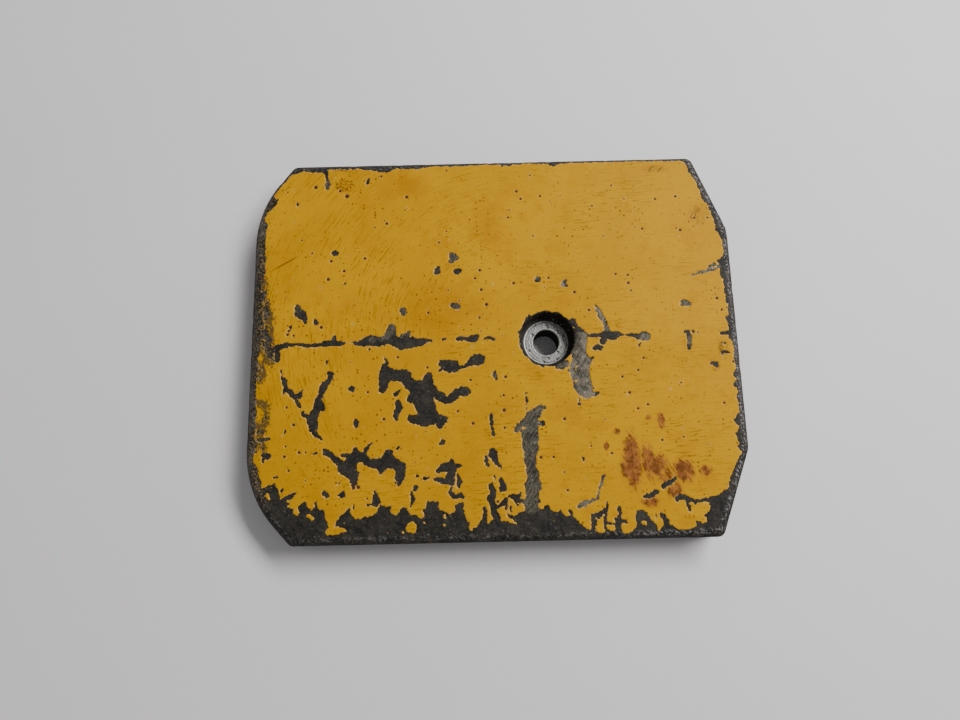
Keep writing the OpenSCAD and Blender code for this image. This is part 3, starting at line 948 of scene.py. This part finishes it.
def chip_middle(x, y, cell, seed):
    """The middle of the little angular chip of paint that each point belongs to."""
    jitter = np.random.default_rng(seed).uniform(0.1, 0.9, (2, 512, 512))
    i, j = np.floor(x / cell).astype(int), np.floor(y / cell).astype(int)
    closest = np.full(np.shape(x), 1e9)
    middle_x, middle_y = np.array(x), np.array(y)
    for di in (-1, 0, 1):
        for dj in (-1, 0, 1):
            column, row = (i + di) % 512, (j + dj) % 512
            site_x = (i + di + jitter[0][column, row]) * cell
            site_y = (j + dj + jitter[1][column, row]) * cell
            gap = np.hypot(site_x - x, site_y - y)
            nearer = gap < closest
            closest = np.where(nearer, gap, closest)
            middle_x = np.where(nearer, site_x, middle_x)
            middle_y = np.where(nearer, site_y, middle_y)
    return middle_x, middle_y


def paint_left(x, y):
    """How far inside the paint a point is: positive under paint, negative on bare metal."""
    chip_x, chip_y = chip_middle(x, y, 1.15, 90)
    wx = x + 0.55 * (chip_x - x) + 0.35 * grain(x, y, 2.1, 91) + 0.20 * grain(x, y, 0.8, 92)
    wy = y + 0.55 * (chip_y - y) + 0.35 * grain(x, y, 2.1, 93) + 0.20 * grain(x, y, 0.8, 94)
    left = np.full(np.shape(x), 20.0)
    outer = (np.abs(x) > 70) | (np.abs(y) > 50)
    left[outer] = -polygon_gap(wx[outer], wy[outer], COAT_EDGE)
    left = np.minimum(left, inside(x, y) - 0.7)
    # Streaks of paint hold on in the rubbed end
    streaks = grain(x, y * 0.7, 1.3, 96) + 0.7 * grain(x, y, 0.6, 97)
    left = np.minimum(left, brush_off(wx, wy, RUBBED) + 1.3 + 1.5 * streaks)
    left = np.minimum(left, brush_off(wx, wy, FLAKES))
    left = np.minimum(left, brush_off(x, y, [[spot] for spot in PINHOLES]))
    left = np.maximum(left, -brush_off(wx, wy, ISLANDS))
    hole = np.hypot(x - HOLE_X, y) - mouth_radius(np.arctan2(y, x - HOLE_X)) - 0.12
    return np.minimum(left, hole - 0.3 * (1 + grain(x, y, 1.6, 98)))


def level_lines(field, x, y, level):
    """Points and edges of the line where a gridded field crosses level, one point on each grid edge."""
    over = field > level
    numbers = {}
    points = []

    def crossings(first, second):
        hit = np.argwhere(over[first] != over[second])
        a = field[first][hit[:, 0], hit[:, 1]]
        b = field[second][hit[:, 0], hit[:, 1]]
        return hit, (level - a) / (b - a)

    hit_x, share_x = crossings(np.s_[:, :-1], np.s_[:, 1:])
    hit_y, share_y = crossings(np.s_[:-1, :], np.s_[1:, :])
    for (i, j), share in zip(hit_x.tolist(), share_x.tolist()):
        numbers[(0, i, j)] = len(points)
        points.append((x[j] + share * (x[j + 1] - x[j]), y[i]))
    for (i, j), share in zip(hit_y.tolist(), share_y.tolist()):
        numbers[(1, i, j)] = len(points)
        points.append((x[j], y[i] + share * (y[i + 1] - y[i])))
    edges = []
    mixed = over[:-1, :-1].astype(int) + over[:-1, 1:] + over[1:, :-1] + over[1:, 1:]
    for i, j in np.argwhere((mixed > 0) & (mixed < 4)).tolist():
        sides = [(0, i, j), (1, i, j + 1), (0, i + 1, j), (1, i, j)]
        found = [numbers[side] for side in sides if side in numbers]
        if len(found) == 2:
            edges.append(tuple(found))
        elif over[i, j]:
            edges += [(found[0], found[1]), (found[2], found[3])]
        else:
            edges += [(found[0], found[3]), (found[1], found[2])]
    return points, edges


def look_up(field, x, y, step, px, py):
    """The gridded field's value at any point, by straight interpolation."""
    u, v = (px - x[0]) / step, (py - y[0]) / step
    j = np.clip(np.floor(u).astype(int), 0, len(x) - 2)
    i = np.clip(np.floor(v).astype(int), 0, len(y) - 2)
    u, v = u - j, v - i
    low_row = field[i, j] * (1 - u) + field[i, j + 1] * u
    high_row = field[i + 1, j] * (1 - u) + field[i + 1, j + 1] * u
    return low_row * (1 - v) + high_row * v


def coat_mesh():
    step = 0.39
    x = np.arange(-END_X - 1, END_X + 1, step)
    y = np.arange(-SIDE_Y - 1, SIDE_Y + 1, step)
    grid_x, grid_y = np.meshgrid(x, y)
    field = paint_left(grid_x, grid_y)
    points, edges = [], []
    for level in (0.0, 0.14, 0.42, 0.60):
        more, links = level_lines(field, x, y, level)
        edges += [(a + len(points), b + len(points)) for a, b in links]
        points += more
    # Open paint has a coarse grid, with rows closer together along the ridge
    spacing = 4.0
    rows = [r * spacing for r in range(-20, 21)] + [-1.6, 1.6, -5.8, 5.8]
    fill_x, fill_y = np.meshgrid(np.arange(-END_X, END_X, spacing), np.array(rows))
    rim_x, rim_y = jittered(1.1, 99)
    by_edge = inside(rim_x, rim_y) < 6
    fill_x = np.concatenate([fill_x.ravel(), rim_x[by_edge]])
    fill_y = np.concatenate([fill_y.ravel(), rim_y[by_edge]])
    well_in = look_up(field, x, y, step, fill_x, fill_y) > 0.8
    points += list(zip(fill_x[well_in].tolist(), fill_y[well_in].tolist()))
    made, _, triangles, _, _, _ = delaunay_2d_cdt([Vector(p) for p in points], edges, [], 0, 1e-6)
    flat = np.array([tuple(p) for p in made])
    triangles = np.array(triangles)
    value = look_up(field, x, y, step, flat[:, 0], flat[:, 1])
    corners = flat[triangles]
    middle = corners.mean(axis=1)
    in_middle = look_up(field, x, y, step, middle[:, 0], middle[:, 1])
    on_edge = np.abs(value[triangles]) < 1e-4
    keep = np.where(on_edge.all(axis=1), in_middle > 0.004, value[triangles].sum(axis=1) > 0)
    triangles = triangles[keep]
    used, triangles = np.unique(triangles, return_inverse=True)
    triangles = triangles.reshape(-1, 3)
    flat, value = flat[used], value[used]
    rise = PAINT_T * (0.62 * ease(value, -0.02, 0.14) + 0.38 * ease(value, 0.14, 0.42))
    skin = clean_height(flat[:, 0], flat[:, 1])
    upper = np.column_stack([flat, skin + rise - 0.03])
    lower = np.column_stack([flat, skin - 0.25])
    shift = len(flat)
    sides = np.concatenate([triangles[:, [0, 1]], triangles[:, [1, 2]], triangles[:, [2, 0]]])
    seen = set(map(tuple, sides.tolist()))
    walls = [(b, a, a + shift, b + shift) for a, b in seen if (b, a) not in seen]
    faces = triangles.tolist() + (triangles[:, ::-1] + shift).tolist() + walls
    piece = mesh_of("brushed_coat", np.concatenate([upper, lower]), faces)
    rim = 1 - ease(value, 0.0, 0.30)
    rubbed = 1 - ease(brush_off(flat[:, 0], flat[:, 1], RUBBED), -0.5, 2.6)
    paint_numbers(piece, "rim", np.concatenate([rim, rim]))
    paint_numbers(piece, "rubbed", np.concatenate([rubbed, rubbed]))
    return piece


coat = coat_mesh()
coat.data.shade_smooth()

material, shader, place = finish_named("traffic_yellow")
rim = place.node("ShaderNodeAttribute", {"attribute_name": "rim"}, out=2)
across = place.node("ShaderNodeSeparateXYZ", {}, {0: place}, out=0)
along = place.node("ShaderNodeSeparateXYZ", {}, {0: place}, out=1)
coat_place = place


def oval(centre, half, turn=0.0):
    """1 over most of an oval and 0 outside it."""
    moved = coat_place.node(
        "ShaderNodeMapping",
        {"vector_type": "TEXTURE"},
        {0: coat_place, 1: (*centre, 0), 2: (0, 0, math.radians(turn)), 3: (*half, 1e3)},
    )
    away = moved.node("ShaderNodeVectorMath", {"operation": "LENGTH"}, {0: moved}, out=1)
    return 1 - away.ease(0.30, 1.15)


# The brush swept in wide arcs over the far left, and straight along the plate elsewhere
sweep = place.node("ShaderNodeVectorMath", {"operation": "SUBTRACT"}, {0: place, 1: (8, 2, 0)})
sweep_r = sweep.node("ShaderNodeVectorMath", {"operation": "LENGTH"}, {0: sweep}, out=1)
sweep_x = sweep.node("ShaderNodeSeparateXYZ", {}, {0: sweep}, out=0)
sweep_y = sweep.node("ShaderNodeSeparateXYZ", {}, {0: sweep}, out=1)
sweep_turn = sweep_x.sum("ARCTAN2", sweep_y, sweep_x)
arc_place = sweep.node("ShaderNodeCombineXYZ", {}, {0: sweep_turn * 4.5, 1: sweep_r, 2: 0.0})
arc_strokes = clouds(arc_place, 0.62, 4, rough=0.7)
straight_strokes = clouds(place, 0.6, 4, stretch=(11, 1, 1), turn=3, rough=0.7)
slant_strokes = clouds(place, 0.6, 4, stretch=(7, 1, 1), turn=62, shift=9, rough=0.7)
far_left = (along * 0.8 - across).ease(0, 50)
strokes = far_left * arc_strokes + (1 - far_left) * straight_strokes
mottle = clouds(place, 34, 3, shift=3)
patches = clouds(place, 8, 4, shift=14)
haze_spots = clouds(place, 20, 4, shift=61)
speckle = clouds(place, 1.1, 3, shift=66, rough=0.65)
yellow = mottle.ease(0.35, 0.65).tint((0.540, 0.266, 0.0), (0.600, 0.302, 0.0))
yellow = (patches.ease(0.48, 0.70) * 0.50).tint(yellow, (0.48, 0.208, 0.0))
yellow = (haze_spots.ease(0.52, 0.68) * 0.45).tint(yellow, (0.50, 0.240, 0.004))
stained = oval((-24, 15), (18, 13)).top(oval((0, 50), (10, 14))).top(oval((-38, 70), (14, 8)))
yellow = (stained * (patches.ease(0.36, 0.60) * 0.35 + 0.25)).tint(yellow, (0.42, 0.165, 0.002))
scratched = clouds(place, 26, 2, shift=47).ease(0.42, 0.62) * 0.5 + 0.14
scratched = scratched.top(oval((-64, 50), (12, 17), -35) * 0.85).top(oval((-50, 36), (13, 20), -35) * 0.75)
scratched = scratched.top(oval((-20, 28), (12, 8), 20) * 0.7)
yellow = (strokes.ease(0.53, 0.64) * scratched).tint(yellow, (0.190, 0.085, 0.0))
across_grain = clouds(place, 30, 2, shift=88).ease(0.50, 0.66)
yellow = (slant_strokes.ease(0.58, 0.72) * across_grain * 0.40).tint(yellow, (0.27, 0.120, 0.0))
yellow = (speckle.ease(0.57, 0.70) * 0.40).tint(yellow, (0.32, 0.145, 0.0))
# A painted sheen: the coat is lightened towards the far right corner, where the light falls
painted_sheen = (across + along * 1.3).ease(10, 170) * 0.28
yellow = painted_sheen.tint(yellow, (0.60, 0.318, 0.004))
# Red-brown pinholes, thicker in some parts, each ringed by a pale painted highlight, and fine specks of dirt
crowd = clouds(place, 20, 2, shift=40).ease(0.40, 0.64)
pinholes = specks(place, 4.4, 0.80, 9) * crowd.ease(0.0, 0.5)
pinhole_highlights = specks(place, 4.4, 1.25, 9) * crowd.ease(0.0, 0.5)
dust = specks(place, 1.6, 0.55, 70) * (crowd * 0.6 + 0.4)
yellow = (dust * 0.8).tint(yellow, (0.16, 0.045, 0.006))
yellow = (pinhole_highlights * 0.35).tint(yellow, (0.72, 0.46, 0.12))
yellow = (pinholes * 0.95).tint(yellow, (0.058, 0.012, 0.003))
scratch = oval((-86.5, 35), (8, 0.5), 30)
yellow = (scratch * 0.7).tint(yellow, (0.13, 0.055, 0.004))
drips = clouds(place, 0.8, 4, stretch=(6, 1, 1), turn=-60, shift=2, rough=0.7)
blots = clouds(place, 1.9, 4, shift=22, rough=0.65)
# Each lobe of the stain: its centre, its half-sizes, its turn in degrees and its strength
RUST_LOBES = [
    ((53, -50), (5, 15), 2, 1.0), ((52.5, -53), (6, 7), 0, 1.0), ((59.5, -50.5), (4, 10), 8, 0.95),
    ((62.5, -52), (6.5, 6), 35, 0.85), ((66, -56), (5, 4), 35, 0.75), ((73, -54.5), (6, 6.5), 20, 1.0),
    ((81.5, -54.5), (3.5, 3), 0, 0.9), ((69, -62), (4, 4), -30, 0.95), ((59, -66), (5, 3), 0, 0.8),
    ((65.5, -34.5), (2, 4.5), 5, 0.9), ((60.5, -33), (1.5, 1.5), 0, 0.8), ((47.5, -38.5), (2, 2), 0, 0.85),
    ((43, -44), (1.5, 2.5), 0, 0.8),
]
rust = 0.0
for centre, half, turn, strength in RUST_LOBES:
    rust = (oval(centre, half, turn) * strength).top(rust)
streaked = (rust * 1.1 + (drips - 0.5) * 2.6 + (blots - 0.5) * 1.0).ease(0.40, 0.92) * rust.ease(0.02, 0.30)
yellow = (rust * 0.50).tint(yellow, (0.42, 0.165, 0.022))
rust_tone = blots.ease(0.38, 0.62).tint((0.31, 0.105, 0.032), (0.105, 0.030, 0.011))
yellow = (streaked * 0.88).tint(yellow, rust_tone)
# Brown dirt in crackled paint near the far left corner, and smears on the far right edge
crackle = oval((-62.5, 70), (5, 4)).top(oval((-62, 77.5), (5.5, 1)))
lace = clouds(place, 1.5, 2, shift=90, rough=0.5)
lace = 1 - lace.sum("ABSOLUTE", lace - 0.5).ease(0.015, 0.05)
yellow = (crackle * 0.35).tint(yellow, (0.40, 0.165, 0.012))
yellow = (crackle.ease(0.1, 0.6) * lace * 0.95).tint(yellow, (0.060, 0.016, 0.005))
smear = oval((71, 74.5), (6.5, 2)).top(oval((87, 52.5), (4.5, 5.5)) * 0.8)
yellow = (smear * 0.3).tint(yellow, (0.43, 0.20, 0.02))
yellow = (smear * slant_strokes.ease(0.47, 0.58) * 0.8).tint(yellow, (0.16, 0.065, 0.006))
dirty = oval((88.5, -13), (2.6, 2.4)).top(oval((92.5, -6), (2.4, 4.5))) * blots.ease(0.44, 0.56)
yellow = (dirty * 0.8).tint(yellow, (0.10, 0.040, 0.008))
# Grime worked into the rubbed left end
rubbed = place.node("ShaderNodeAttribute", {"attribute_name": "rubbed"}, out=2)
end_band = (0 - across).ease(87, 97) * 0.45
specked = clouds(place, 0.85, 4, stretch=(1, 1.8, 1), shift=55, rough=0.7)
worn_through = rubbed.top(end_band)
grime = (worn_through + (specked - 0.5) * 3.0).ease(0.50, 0.90) * worn_through.ease(0, 0.25)
yellow = (grime * 0.85).tint(yellow, (0.050, 0.040, 0.022))
# The thin lip where the coat broke off is paler: partly fresh paint, and partly a painted highlight along
# the broken edge
yellow = (rim * 0.40).tint(yellow, (0.74, 0.52, 0.20))
relief = strokes * 0.7 + patches * 0.4 + blots * 0.15 - pinholes * 0.5
bump = place.node("ShaderNodeBump", {}, {"Strength": 0.5, "Distance": 0.08 * MM, "Height": relief})
plug(
    shader,
    Base_Color=yellow,
    Roughness=0.48 + streaked * 0.25 + grime * 0.2 + (patches - 0.5) * 0.15,
    Specular_IOR_Level=0.07,
    Normal=bump,
)
coat.data.materials.append(material)
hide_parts("paint_coat")
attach(coat, "root")
